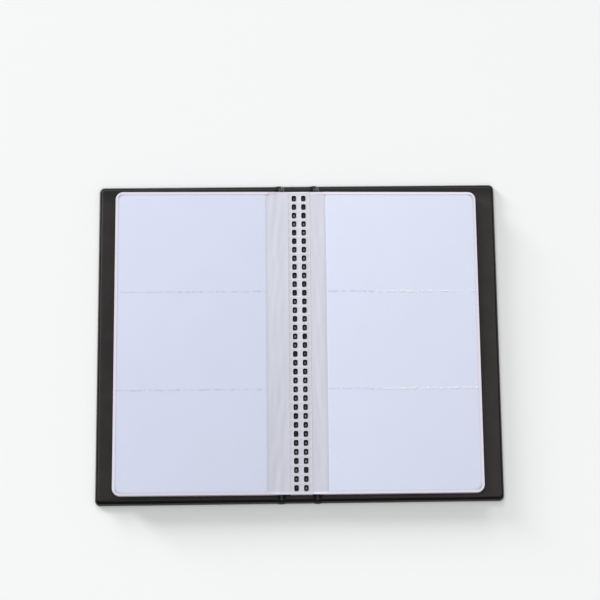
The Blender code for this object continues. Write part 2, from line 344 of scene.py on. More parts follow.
def lining_shell():
    """The lining of the open case: a lid with turned-down edges that stands in the weld groove."""
    low, _ = node_box("front_cover_skin")
    _, high = node_box("back_cover_skin")
    inset = Vector((LINER_EDGE, LINER_EDGE, 0))
    low.y += TAIL_GROOVE_EXTRA
    shell = rounded_sheet(low + inset, high - inset, COVER_CORNER - LINER_EDGE, GROOVE_FLOOR)
    wall = LINER_WRAP[0][1]
    bottoms, tops = raise_sheet(shell, wall)
    step_in(shell, tops, LINER_WRAP[1:])
    hollow = GROOVE_FLOOR - LINER_UNDERSIDE
    step_in(shell, bottoms, ((LINER_HEM, 0.0), (LINER_INNER_WALL, hollow), (LINER_INNER_RIM, 0.0)))
    ease_outline(shell)
    return shell


# Calendered PVC: nearly smooth, with a fine matt stipple and a faint brown cast. Its colour is painted a
# little paler towards the back cover, painted light, and blackest along the head, painted shade.
STIPPLE = 0.7
STIPPLE_DEPTH = 0.02
LINING_REACH = 110.0
PAINTED_SHADE_FROM = 86.0
PAINTED_SHADE_TO = 92.0
PAINTED_SHADE_SHARE = 0.7
lining_vinyl, shader, place = new_material("calendered_black_lining", IOR=1.52, Specular_IOR_Level=0.2)
stipple = add_node(
    lining_vinyl, "ShaderNodeTexNoise", {"Vector": place, "Scale": 1 / (STIPPLE * MM), "Detail": 2.0},
).outputs["Fac"]
clouds = add_node(
    lining_vinyl, "ShaderNodeTexNoise", {"Vector": place, "Scale": 1 / (SCUFF_PATCH * MM), "Detail": 3.0},
).outputs["Fac"]
directions = add_node(lining_vinyl, "ShaderNodeSeparateXYZ", {"Vector": place}).outputs
across_reach = {"From Min": -LINING_REACH * MM, "From Max": LINING_REACH * MM}
# Painted light: the lining's colour grows paler towards the back cover.
painted_light_to_back = add_node(
    lining_vinyl, "ShaderNodeMapRange",
    {"Value": directions["X"], "To Min": -0.4, "To Max": 0.4} | across_reach,
).outputs["Result"]
# Painted shade: the lining's colour goes blackest along the head.
painted_shade_reach = {"From Min": PAINTED_SHADE_FROM * MM, "From Max": PAINTED_SHADE_TO * MM}
painted_head_shade = add_node(
    lining_vinyl, "ShaderNodeMapRange",
    {"Value": directions["Y"], "To Max": PAINTED_SHADE_SHARE} | painted_shade_reach,
).outputs["Result"]
clouds_and_painted_light = add_node(lining_vinyl, "ShaderNodeMath", {0: clouds, 1: painted_light_to_back}, operation="ADD").outputs[0]
tone_with_painted_light = add_node(
    lining_vinyl, "ShaderNodeMix", {0: clouds_and_painted_light, 6: linear("#252322"), 7: linear("#3B3736")},
    data_type="RGBA",
).outputs[2]
colour = add_node(
    lining_vinyl, "ShaderNodeMix", {0: painted_head_shade, 6: tone_with_painted_light, 7: linear("#171515")}, data_type="RGBA",
).outputs[2]
roughness = add_node(
    lining_vinyl, "ShaderNodeMapRange", {"Value": stipple, "To Min": 0.42, "To Max": 0.60},
).outputs["Result"]
relief = add_node(
    lining_vinyl, "ShaderNodeBump", {"Height": stipple, "Strength": 0.6, "Distance": STIPPLE_DEPTH * MM},
).outputs["Normal"]
feed(lining_vinyl, shader, Base_Color=colour, Roughness=roughness, Normal=relief)

whole_lining = lining_shell()
for body, (x_low, x_high) in panels.items():
    lining = new_piece(f"{body}_lining", stretch_of(whole_lining, x_low, x_high), [lining_vinyl])
    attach(lining, body)
    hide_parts(f"{body}_liner")
whole_lining.free()

# Hinge webs. Between the boards, skin and lining are welded into one thin line along which the cover folds.
# The valley runs out through the bead at head and tail, where the soft vinyl is squeezed a little outwards.
WEB_UNDERSIDE = 0.22
WEB_TOP = 0.52
WEB_HALF_WIDTH = 0.75
WEB_BENDS = 8
SLOPE_STEPS = 5
WEB_HEAD_BULGE = 0.5
WEB_TAIL_BULGE = 0.3
WEB_END_LENGTH = 3.0


def soft_step(value, low, high):
    """0 below low, 1 above high and a smooth rise between them."""
    share = min(1.0, max(0.0, (value - low) / (high - low)))
    return share * share * (3 - 2 * share)


def press_hinge(block, centre):
    """Presses the stretch of a case block around a hinge line down to the web, with soft slopes beside it."""
    _, liner_high = node_box("spine_liner")
    _, skin_high = node_box("spine_skin")
    for corner in block.verts:
        distance = abs(corner.co.x - centre)
        pressed = 1 - soft_step(distance, WEB_HALF_WIDTH, HINGE_HALF_WIDTH)
        web_z = WEB_UNDERSIDE + (WEB_TOP - WEB_UNDERSIDE) * corner.co.z / liner_high.z
        corner.co.z += (web_z - corner.co.z) * pressed
        near_end = soft_step(abs(corner.co.y), skin_high.y - WEB_END_LENGTH, skin_high.y)
        bulge = WEB_HEAD_BULGE if corner.co.y > 0 else -WEB_TAIL_BULGE
        corner.co.y += bulge * pressed * near_end


# Vinyl that has been creased many times goes pale along the fold.
CREASE_HALF_WIDTH = 0.9
CREASE_BREAK = 2.5
CREASE_DEPTH = 0.08
creased_vinyl, shader, place = new_material(
    "creased_black_vinyl", IOR=1.52, Roughness=0.5, Specular_IOR_Level=0.35,
)
across = add_node(creased_vinyl, "ShaderNodeSeparateXYZ", {"Vector": place}).outputs["X"]
from_middle = add_node(creased_vinyl, "ShaderNodeMath", {0: across}, operation="ABSOLUTE").outputs[0]
from_fold = add_node(
    creased_vinyl, "ShaderNodeMath", {0: from_middle, 1: hinge_x * MM}, operation="SUBTRACT",
).outputs[0]
beside_fold = add_node(creased_vinyl, "ShaderNodeMath", {0: from_fold}, operation="ABSOLUTE").outputs[0]
crease = add_node(
    creased_vinyl, "ShaderNodeMapRange",
    {"Value": beside_fold, "From Max": CREASE_HALF_WIDTH * MM, "To Min": 1.0, "To Max": 0.0},
    interpolation_type="SMOOTHSTEP",
).outputs["Result"]
breaks = add_node(
    creased_vinyl, "ShaderNodeTexNoise", {"Vector": place, "Scale": 1 / (CREASE_BREAK * MM), "Detail": 3.0},
).outputs["Fac"]
worn = add_node(creased_vinyl, "ShaderNodeMath", {0: crease, 1: breaks}, operation="MULTIPLY").outputs[0]
colour = add_node(
    creased_vinyl, "ShaderNodeMix", {0: worn, 6: linear("#1E1C1B"), 7: linear("#716D69")}, data_type="RGBA",
).outputs[2]
relief = add_node(
    creased_vinyl, "ShaderNodeBump", {"Height": breaks, "Strength": 0.5, "Distance": CREASE_DEPTH * MM},
).outputs["Normal"]
feed(creased_vinyl, shader, Base_Color=colour, Normal=relief)

whole_case = case_block(LINER_WRAP)
for body, side in (("front_cover", -1), ("back_cover", 1)):
    centre = side * hinge_x
    web = stretch_of(whole_case, centre - HINGE_HALF_WIDTH, centre + HINGE_HALF_WIDTH)
    bends = [WEB_HALF_WIDTH * (2 * step / WEB_BENDS - 1) for step in range(WEB_BENDS + 1)]
    slope = (HINGE_HALF_WIDTH - WEB_HALF_WIDTH) / SLOPE_STEPS
    slopes = [sign * (WEB_HALF_WIDTH + step * slope) for sign in (-1, 1) for step in range(1, SLOPE_STEPS)]
    cut_loops(web, [centre + offset for offset in bends + slopes])
    press_hinge(web, centre)
    web = new_piece(f"{body}_hinge", web, [creased_vinyl, bead_vinyl, painted_shade_groove_vinyl])
    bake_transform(web)
    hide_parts(f"{body.replace('cover', 'hinge')}_web")
whole_case.free()

# Binding strip. The inner margins of all the leaves are gathered over the spine, and two rows of hot teeth
# weld them down to the black vinyl. Each tooth leaves a pit with a thin lip, and the film puckers in between.
NEARLY = 0.01
WELD_ROW_SPACING = 5.7
WELD_PITCH = 5.3
WELDS_PER_ROW = 34
WELD_SHIFT = -0.5
PIT_WIDTH = 3.35
PIT_LENGTH = 4.25
PIT_LIP_WIDTH = 0.32
PIT_LIP_HEIGHT = 0.10
PIT_CORNER = 0.7
PIT_CORNER_SEGMENTS = 3
PIT_WALL = ((0.96, -0.05), (0.93, -0.50), (0.84, -0.18), (0.38, -0.02))
PIT_MIDDLE = ((0.75, 0.08), (0.60, 0.04))
STRIP_HALF_WIDTH = 6.5
HEAD_TRIM = 0.4
TAIL_REACH = 0.10
TAIL_RIM = 1.0
STRIP_FLOOR = 7.54
STRIP_SHOULDER = 7.64
SHOULDER_START = 6.1
SHOULDER_LINES = (6.25, 6.38)
LIP_REACH = 0.18
LIP_UNDERSIDE = 7.58
PUCKER = 0.10
PUCKER_CLEARANCE = 0.1


def gathered_strip():
    """The strip as a closed mesh cage. Material 0 is film, 1 the pits, 2 their middles, 3 the fused tail."""
    low, high = node_box("binding_strip")
    centre_x = (low.x + high.x) / 2
    head = high.y - HEAD_TRIM
    tail = low.y - TAIL_REACH
    rows = [side * WELD_ROW_SPACING / 2 for side in (-1, 1)]
    first = WELD_SHIFT - WELD_PITCH * (WELDS_PER_ROW - 1) / 2
    steps = [first + number * WELD_PITCH for number in range(WELDS_PER_ROW)]
    strip = bmesh.new()
    bmesh.ops.create_grid(strip, x_segments=1, y_segments=1, size=0.5)
    bmesh.ops.scale(strip, verts=strip.verts, vec=(2 * STRIP_HALF_WIDTH, head - tail, 1))
    bmesh.ops.translate(strip, verts=strip.verts, vec=(0, (head + tail) / 2, 0))
    row_edges = [row + edge * PIT_WIDTH / 2 for row in rows for edge in (-1, 1)]
    shoulders = [side * line for side in (-1, 1) for line in (SHOULDER_START,) + SHOULDER_LINES]
    cut_loops(strip, row_edges + shoulders + [0.0])
    pit_edges = [step + edge * PIT_LENGTH / 2 for step in steps for edge in (-1, 1)]
    middles = [step + WELD_PITCH / 2 for step in steps[:-1]]
    cut_loops(strip, pit_edges + middles + [tail + TAIL_RIM, head - TAIL_RIM], axis=1)
    _, tops = raise_sheet(strip, STRIP_FLOOR - low.z)
    for face in tops:
        if face.calc_center_median().y < tail + TAIL_RIM:
            face.material_index = 3
    for corner in {corner for face in tops for corner in face.verts}:
        between = min(abs(corner.co.y - step) for step in steps) > PIT_LENGTH / 2 + PUCKER_CLEARANCE
        shoulder = soft_step(abs(corner.co.x), SHOULDER_START, STRIP_HALF_WIDTH)
        corner.co.z += (STRIP_SHOULDER - STRIP_FLOOR) * shoulder
        if between:
            corner.co.z += PUCKER * (1 - shoulder)
    bmesh.ops.translate(strip, verts=strip.verts, vec=(0, 0, low.z))
    cut_loops(strip, [LIP_UNDERSIDE], axis=2)
    for corner in strip.verts:
        if abs(corner.co.x) > STRIP_HALF_WIDTH - NEARLY and corner.co.z > LIP_UNDERSIDE + NEARLY:
            corner.co.x += math.copysign(LIP_REACH, corner.co.x)
    pits = []
    for face in tops:
        centre = face.calc_center_median()
        in_row = min(abs(centre.x - row) for row in rows) < PIT_WIDTH / 4
        in_step = min(abs(centre.y - step) for step in steps) < PIT_LENGTH / 4
        if in_row and in_step:
            pits.append(face)
    press_pits(strip, pits)
    bmesh.ops.translate(strip, verts=strip.verts, vec=(centre_x, 0, 0))
    return strip


def press_pits(strip, pits):
    """Gives each pit face a lip, round corners, and rings that are each a share as wide as the one before."""
    bmesh.ops.inset_individual(
        strip, faces=pits, thickness=PIT_LIP_WIDTH, depth=PIT_LIP_HEIGHT, use_even_offset=True,
    )
    corners = {corner for face in pits for corner in face.verts}
    bmesh.ops.bevel(
        strip, geom=list(corners), offset=PIT_CORNER, segments=PIT_CORNER_SEGMENTS, profile=0.5,
        affect="VERTICES", material=-1,
    )
    pits = [face for face in strip.faces if len(face.verts) == 4 * (PIT_CORNER_SEGMENTS + 1)]
    for zone, rings in ((1, PIT_WALL), (2, PIT_MIDDLE)):
        for share, rise in rings:
            ring = bmesh.ops.inset_individual(strip, faces=pits, thickness=0, depth=0)
            for face in ring["faces"] + pits:
                face.material_index = zone
            for face in pits:
                middle = face.calc_center_median()
                for corner in face.verts:
                    corner.co = middle + (corner.co - middle) * share
                    corner.co.z += rise


def tone_with_painted_falloff(material, place, pattern, swing, head, tail):
    """Painted shade: a colour greyer from a page's head to its tail, made uneven by the swing of a pattern.
    """
    _, high = node_box("binding_strip")
    along = add_node(material, "ShaderNodeSeparateXYZ", {"Vector": place}).outputs["Y"]
    # Painted shade: the tone darkens from the head of the pages to their tail.
    tailward = add_node(
        material, "ShaderNodeMapRange", {"Value": along, "From Min": high.y * MM, "From Max": -high.y * MM},
    ).outputs["Result"]
    uneven = add_node(
        material, "ShaderNodeMapRange", {"Value": pattern, "To Min": -swing, "To Max": swing},
    ).outputs["Result"]
    share = add_node(material, "ShaderNodeMath", {0: tailward, 1: uneven}, operation="ADD").outputs[0]
    return add_node(
        material, "ShaderNodeMix", {0: share, 6: linear(head), 7: linear(tail)}, data_type="RGBA",
    ).outputs[2]


# Polypropylene film: clear by itself, milky where many layers lie together between the welds and greyer
# beside them, with a slow ripple in its gloss.
FILM_RIPPLE = 9.0
FILM_RIPPLE_DEPTH = 0.3
FILM_BAND = 5.0
FILM_BAND_STRETCH = 0.12
FILM_THIN_FROM = 3.6
FILM_THIN_TO = 5.2
FILM_THINNING = 0.48
FILM_SWING = 0.6
film_layers, shader, place = new_material(
    "gathered_clear_film", IOR=1.49, Roughness=0.5, Specular_IOR_Level=0.16,
)
stretched = add_node(
    film_layers, "ShaderNodeMapping", {"Vector": place, "Scale": (1.0, FILM_BAND_STRETCH, 1.0)},
).outputs["Vector"]
bands = add_node(
    film_layers, "ShaderNodeTexNoise", {"Vector": stretched, "Scale": 1 / (FILM_BAND * MM), "Detail": 2.0},
).outputs["Fac"]
ripple = add_node(
    film_layers, "ShaderNodeTexNoise", {"Vector": place, "Scale": 1 / (FILM_RIPPLE * MM), "Detail": 2.0},
).outputs["Fac"]
across = add_node(film_layers, "ShaderNodeSeparateXYZ", {"Vector": place}).outputs["X"]
strip_low, strip_high = node_box("binding_strip")
strip_middle = (strip_low.x + strip_high.x) / 2 * MM
from_middle = add_node(
    film_layers, "ShaderNodeMath", {0: across, 1: strip_middle}, operation="SUBTRACT",
).outputs[0]
sideways = add_node(film_layers, "ShaderNodeMath", {0: from_middle}, operation="ABSOLUTE").outputs[0]
thinning_reach = {"From Min": FILM_THIN_FROM * MM, "From Max": FILM_THIN_TO * MM}
thinning = add_node(
    film_layers, "ShaderNodeMapRange", {"Value": sideways, "To Max": FILM_THINNING} | thinning_reach,
).outputs["Result"]
milkiness = add_node(film_layers, "ShaderNodeMath", {0: bands, 1: thinning}, operation="ADD").outputs[0]
colour = tone_with_painted_falloff(film_layers, place, milkiness, FILM_SWING, "#DBDCE5", "#CBCCD5")
relief = add_node(
    film_layers, "ShaderNodeBump", {"Height": ripple, "Strength": 0.3, "Distance": FILM_RIPPLE_DEPTH * MM},
).outputs["Normal"]
feed(film_layers, shader, Base_Color=colour, Normal=relief)

# Film that a tooth has melted onto the black spine is glass-clear, so the vinyl shows through it. In the
# In the middle of each pit the colour is painted paler in patches: a painted glint.
PIT_MOTTLE = 0.8
PIT_GLINT_PATCH = 3.2


def pressed_film(name, patch, dark, light):
    """Melted film, mottled between two tones in patches of a size."""
    film, shader, place = new_material(name, IOR=1.45, Roughness=0.25, Specular_IOR_Level=0.3)
    mottle = add_node(
        film, "ShaderNodeTexNoise", {"Vector": place, "Scale": 1 / (patch * MM), "Detail": 1.0},
    ).outputs["Fac"]
    share = add_node(
        film, "ShaderNodeMapRange", {"Value": mottle, "From Min": 0.36, "From Max": 0.64},
    ).outputs["Result"]
    colour = add_node(
        film, "ShaderNodeMix", {0: share, 6: linear(dark), 7: linear(light)}, data_type="RGBA",
    ).outputs[2]
    feed(film, shader, Base_Color=colour)
    return film


# Where the films are fused along the edge, they turn into one clean white line.
FUSION_GRAIN = 1.6


def fused_film(name, dark, light):
    """Fused film, faintly cloudy between two near tones."""
    film, shader, place = new_material(name, IOR=1.49, Roughness=0.5, Specular_IOR_Level=0.16)
    fusion = add_node(
        film, "ShaderNodeTexNoise", {"Vector": place, "Scale": 1 / (FUSION_GRAIN * MM), "Detail": 2.0},
    ).outputs["Fac"]
    colour = add_node(
        film, "ShaderNodeMix", {0: fusion, 6: linear(dark), 7: linear(light)}, data_type="RGBA",
    ).outputs[2]
    feed(film, shader, Base_Color=colour)
    return film


fused_edges = {
    "left": fused_film("fused_left_edge", "#D5D0DD", "#E1DCE8"),
    # The right-hand edge is painted paler than the left: painted light against the shade on that rim.
    "right": fused_film("fused_right_edge_painted_light", "#E0DBE8", "#ECE7F2"),
}
strip_materials = [
    film_layers,
    pressed_film("film_melted_on_black", PIT_MOTTLE, "#07070E", "#15151F"),
    pressed_film("pit_middle_painted_glint", PIT_GLINT_PATCH, "#22232E", "#8E909C"),
    # Painted glint: the pits' middles are mottled up to a pale grey.
    fused_edges["left"],
]
strip = new_piece("gathered_strip", gathered_strip(), strip_materials, smooth_angle=180)
rounding = strip.modifiers.new("soft_film", "SUBSURF")
rounding.levels = 1
rounding.render_levels = 1
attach(strip, "spine")
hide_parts("binding_strip")

# Lower leaves. Each is two clear films with a white sheet between them, welded along head, fore-edge and tail
# and at two cross seams. The clear inner margins fan together towards the binding strip and end at its lip.
LEAVES_PER_SIDE = 10
LEAF_CORNER = 4.5
EDGE_SEAM = 1.2
EDGE_SLOPE = 0.35
FLAT_HOLD = 1.0
POCKET_LIP = 1.5
GUTTER_HALF_WIDTH = 18.0
SHEET_OFFSET = -0.75
SEAM_OFFSET = 29.6
SEAM_HALF_WIDTH = 0.5
SEAM_LINES = (-3, -1, 0, 1, 3)
FIELD_THICKNESS = 0.40
RIM_THICKNESS = 0.26
SEAM_THICKNESS = 0.26
MARGIN_THICKNESS = 0.10
ROOT_CLEARANCE = 0.12
ROOT_TOP = 7.52
ROOT_BOTTOM = 5.80
FOLD_START = 0.18
FOLD_LENGTH = 1.0
FOLD_STEPS = 14
MARGIN_STEPS = 12
EDGE_STRAY = 0.25
STRAY_SEED = 1795645511
STRAY_PER_LEAF = 1.7
STRAY_PER_SIDE = 3.1
STRAY_LEVEL = 0.5
HEAD_SKEWS = {-1: 0.7, 1: 1.1}
TAIL_SKEWS = {-1: 0.0, 1: 0.3}


def leaf_sheet(root, outer, half_height, rim):
    """A level sheet with a welded rim on three sides, from root to outer as distances from the middle."""
    inner = root - LEAF_CORNER - 2 * EDGE_SEAM - FLAT_HOLD
    sheet = rounded_sheet((inner, -half_height), (outer, half_height), LEAF_CORNER, 0)
    step_in(sheet, sheet.faces[:], ((rim, 0.0), (EDGE_SLOPE, 0.0), (FLAT_HOLD, 0.0)))
    everything = sheet.verts[:] + sheet.edges[:] + sheet.faces[:]
    bmesh.ops.bisect_plane(
        sheet, geom=everything, plane_co=(root, 0, 0), plane_no=(-1, 0, 0), clear_outer=True,
        dist=CUT_TOLERANCE,
    )
    return sheet


def root_of(side):
    """Where a side's leaves end beside the strip, and where their fold starts and ends, as distances."""
    low, high = node_box("binding_strip")
    strip_edge = STRIP_HALF_WIDTH + side * (low.x + high.x) / 2
    fold_start = strip_edge + FOLD_START
    return strip_edge + ROOT_CLEARANCE, fold_start, fold_start + FOLD_LENGTH


def cut_margin(sheet, side, margin_end):
    """Cuts the margin of a leaf into bends: fine ones where it folds, wider ones out to the pockets."""
    _, fold_start, fold_end = root_of(side)
    fold = [fold_start + FOLD_LENGTH * step / FOLD_STEPS for step in range(FOLD_STEPS + 1)]
    span = margin_end - fold_end
    slope = [fold_end + span * step / MARGIN_STEPS for step in range(1, MARGIN_STEPS + 1)]
    cut_loops(sheet, fold + slope)


def root_height(number):
    """The height at which a leaf's margin meets the strip: the roots are packed closer than the leaves."""
    return ROOT_BOTTOM + (ROOT_TOP - ROOT_BOTTOM) * (LEAVES_PER_SIDE - number) / (LEAVES_PER_SIDE - 1)


def fold_at_root(piece):
    """Bakes a leaf's place into its mesh."""
    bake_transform(piece)


def set_side(shape, side):
    """Mirrors a shape modelled on the right to its own side, and cuts head and tail edge a little askew."""
    if side < 0:
        bmesh.ops.scale(shape, verts=shape.verts, vec=(-1, 1, 1))
    _, high = node_box("right_leaf_10")
    for corner in shape.verts:
        outward = corner.co.x / high.x
        headward = max(0.0, corner.co.y / high.y)
        tailward = max(0.0, -corner.co.y / high.y)
        corner.co.y -= (HEAD_TRIM + HEAD_SKEWS[side] * outward) * headward
        corner.co.y += TAIL_SKEWS[side] * outward * tailward
    bmesh.ops.recalc_face_normals(shape, faces=shape.faces)


def lower_leaf(side, number, outer, half_height, middle_z):
    """A leaf as one closed mesh. Material 0 is the pockets' white field, 1 the clear film around it."""
    root, _, fold_end = root_of(side)
    white_inner = GUTTER_HALF_WIDTH + side * SHEET_OFFSET
    mouth = white_inner - POCKET_LIP
    leaf = leaf_sheet(root, outer, half_height, EDGE_SEAM)
    cut_margin(leaf, side, mouth)
    cut_loops(leaf, (mouth + EDGE_SLOPE, white_inner))
    seams = [sign * SEAM_OFFSET + line * SEAM_HALF_WIDTH for sign in (-1, 1) for line in SEAM_LINES]
    cut_loops(leaf, seams, axis=1)
    # Until a corner gets its place, its height tells its layer: 0 on the underside, 1 on top.
    raise_sheet(leaf, 1.0)
    for corner in leaf.verts:
        x, y, layer = corner.co
        thickness = FIELD_THICKNESS
        if min(outer - x, half_height - abs(y)) < EDGE_SEAM + EDGE_SLOPE / 2:
            thickness = RIM_THICKNESS
        if abs(abs(y) - SEAM_OFFSET) < SEAM_HALF_WIDTH / 2:
            thickness = SEAM_THICKNESS
        if x < mouth + EDGE_SLOPE / 2:
            thickness = MARGIN_THICKNESS
        rise = soft_step(x, fold_end, mouth)
        height = root_height(number) * (1 - rise) + middle_z * rise
        corner.co.z = height + (layer - 0.5) * thickness
    for face in leaf.faces:
        centre = face.calc_center_median()
        from_edge = min(outer - centre.x, half_height - abs(centre.y))
        face.material_index = 0 if from_edge > EDGE_SEAM and centre.x > white_inner else 1
    set_side(leaf, side)
    return leaf


# White polypropylene under clear film: a cool, bluish white, with faint cloudy patches where the film clings.
CLING_PATCH = 22.0
CLING_DULLNESS = 0.14
PAGE_SWING = 0.4
SHEET_GRAIN = 1.6
SHEET_GRAIN_DEPTH = 0.05


def white_page(name, dullness, head, tail):
    """The white of a page between two near tones. Dullness is the least roughness of its surface."""
    page, shader, place = new_material(name, IOR=1.49, Specular_IOR_Level=0.12)
    cling = add_node(
        page, "ShaderNodeTexNoise", {"Vector": place, "Scale": 1 / (CLING_PATCH * MM), "Detail": 3.0},
    ).outputs["Fac"]
    grain = add_node(
        page, "ShaderNodeTexNoise", {"Vector": place, "Scale": 1 / (SHEET_GRAIN * MM), "Detail": 2.0},
    ).outputs["Fac"]
    colour = tone_with_painted_falloff(page, place, cling, PAGE_SWING, head, tail)
    roughness = add_node(
        page, "ShaderNodeMapRange", {"Value": cling, "To Min": dullness, "To Max": dullness + CLING_DULLNESS},
    ).outputs["Result"]
    relief = add_node(
        page, "ShaderNodeBump", {"Height": grain, "Strength": 0.15, "Distance": SHEET_GRAIN_DEPTH * MM},
    ).outputs["Normal"]
    feed(page, shader, Base_Color=colour, Roughness=roughness, Normal=relief)
    return page


# Clear film along the gutter: bluish where it is alone, and whiter in long bands where more layers touch.
MARGIN_STRETCH = 0.06
MARGIN_SWING = 0.9


def margin_film(name, alpha, head, tail):
    """Clear film, seen against the leaves under it."""
    film, shader, place = new_material(name, IOR=1.49, Roughness=0.5, Alpha=alpha, Specular_IOR_Level=0.16)
    stretched = add_node(
        film, "ShaderNodeMapping", {"Vector": place, "Scale": (1.0, MARGIN_STRETCH, 1.0)},
    ).outputs["Vector"]
    bands = add_node(
        film, "ShaderNodeTexNoise", {"Vector": stretched, "Scale": 1 / (FILM_BAND * MM), "Detail": 2.0},
    ).outputs["Fac"]
    feed(film, shader, Base_Color=tone_with_painted_falloff(film, place, bands, MARGIN_SWING, head, tail))
    return film


leaf_field = white_page("white_sheet_in_pockets", 0.55, "#DADFF2", "#D0D5E9")
leaf_margin = margin_film("clear_leaf_film", 0.92, "#CFD1DD", "#C2C4D0")
# Noise vectors start from the clock unless they are given a seed, and every run has to draw the same strays.
noise.seed_set(STRAY_SEED)
for side_name, side in (("left", -1), ("right", 1)):
    for number in range(LEAVES_PER_SIDE, 1, -1):
        node = f"{side_name}_leaf_{number:02d}"
        leaf_low, leaf_high = node_box(node)
        outer = max(side * leaf_low.x, side * leaf_high.x)
        stray_place = (number * STRAY_PER_LEAF, side * STRAY_PER_SIDE, STRAY_LEVEL)
        stray = noise.noise_vector(stray_place) * EDGE_STRAY
        middle_z = (leaf_low.z + leaf_high.z) / 2
        shape = lower_leaf(side, number, outer + stray.x, leaf_high.y - abs(stray.y), middle_z)
        name = f"{side_name}_pocket_leaf_{number:02d}"
        leaf = new_piece(name, shape, [leaf_field, leaf_margin], smooth_angle=30)
        fold_at_root(leaf)
        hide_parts(node)

# Top leaves. The leaf that shows on each side is built up from its three layers: the rear film, whose margin
# reaches the strip, the opaque white sheet, and the front film, welded on to make the three card pockets.
FILM_THICKNESS = 0.10
FEATHER_WIDTH = 0.9
FEATHER_TOP_DROP = 0.10
FEATHER_BOTTOM_DROP = 0.03
WRINKLE_STEP = 1.2
WRINKLE_HEIGHT = 0.14
WRINKLES_ACROSS = 0.35
WRINKLES_ALONG = 0.05
WRINKLE_SLANT = 0.04
WRINKLE_DRIFT = 0.08
WRINKLE_SEEDS = (9, 4.0)
WRINKLE_START = 3
WRINKLE_FADE = 4
WRINKLE_END = 1
SHEET_RIM = 0.6
RIM_PRESSED = 0.08
RIM_RAISED = 0.12
SEAM_STATION = 0.8
SEAM_BAND = (-0.80, -0.40, 0.0, 0.40, 0.80)
SEAM_HOLD = 1.8
SEAM_LIP = 0.025
SEAM_GROOVE = 0.03
SEAM_WANDER = 0.35
WANDERS_ALONG = 0.11
WANDER_SEEDS = (5, 5.0)
MEAN_GRIP = 0.6
GRIPS_ALONG = 0.5
GRIP_SEEDS = (8, 2.0)
FACING_UP = 0.5


def rear_film(side, outer, half_height, film_z):
    """The rear film with its margin, wrinkled on its way to the strip. Material 1 is its fused edge."""
    root, _, fold_end = root_of(side)
    white_inner = GUTTER_HALF_WIDTH + side * SHEET_OFFSET
    film = leaf_sheet(root, outer, half_height, EDGE_SEAM)
    cut_margin(film, side, white_inner)
    cuts = int(2 * half_height / WRINKLE_STEP)
    cut_loops(film, [-half_height + (step + 0.5) * WRINKLE_STEP for step in range(cuts)], axis=1)
    raise_sheet(film, 1.0)
    for corner in film.verts:
        x, y, layer = corner.co
        rise = soft_step(x, fold_end, white_inner)
        height = root_height(1) * (1 - rise) + film_z * rise
        held = soft_step(x, white_inner - WRINKLE_FADE, white_inner - WRINKLE_END)
        loose = soft_step(x, fold_end, fold_end + WRINKLE_START) * (1 - held)
        across = x * WRINKLES_ACROSS + y * WRINKLE_SLANT + side * WRINKLE_SEEDS[0]
        along = y * WRINKLES_ALONG - x * WRINKLE_DRIFT
        wrinkle = noise.noise((across, along, side * WRINKLE_SEEDS[1]))
        corner.co.z = height + (layer - 0.5) * FILM_THICKNESS + wrinkle * loose * WRINKLE_HEIGHT
        if min(outer - x, half_height - abs(y)) < EDGE_SEAM + EDGE_SLOPE / 2:
            corner.co.z += RIM_RAISED * rise
    for face in film.faces:
        centre = face.calc_center_median()
        face.material_index = int(min(outer - centre.x, half_height - abs(centre.y)) < EDGE_SEAM)
    set_side(film, side)
    return film


def white_sheet(side, outer, half_height, low_z, high_z):
    """The opaque sheet, which ends short of the welded rim and is drawn thin along the gutter."""
    white_inner = GUTTER_HALF_WIDTH + side * SHEET_OFFSET
    inset = EDGE_SEAM + EDGE_SLOPE
    sheet = leaf_sheet(white_inner, outer - inset, half_height - inset, SHEET_RIM)
    cut_loops(sheet, (white_inner + FEATHER_WIDTH,))
    raise_sheet(sheet, high_z - low_z)
    for corner in sheet.verts:
        if corner.co.x < white_inner + FEATHER_WIDTH / 2:
            corner.co.z -= FEATHER_TOP_DROP if corner.co.z > 0 else FEATHER_BOTTOM_DROP
    bmesh.ops.translate(sheet, verts=sheet.verts, vec=(0, 0, low_z))
    set_side(sheet, side)
    return sheet


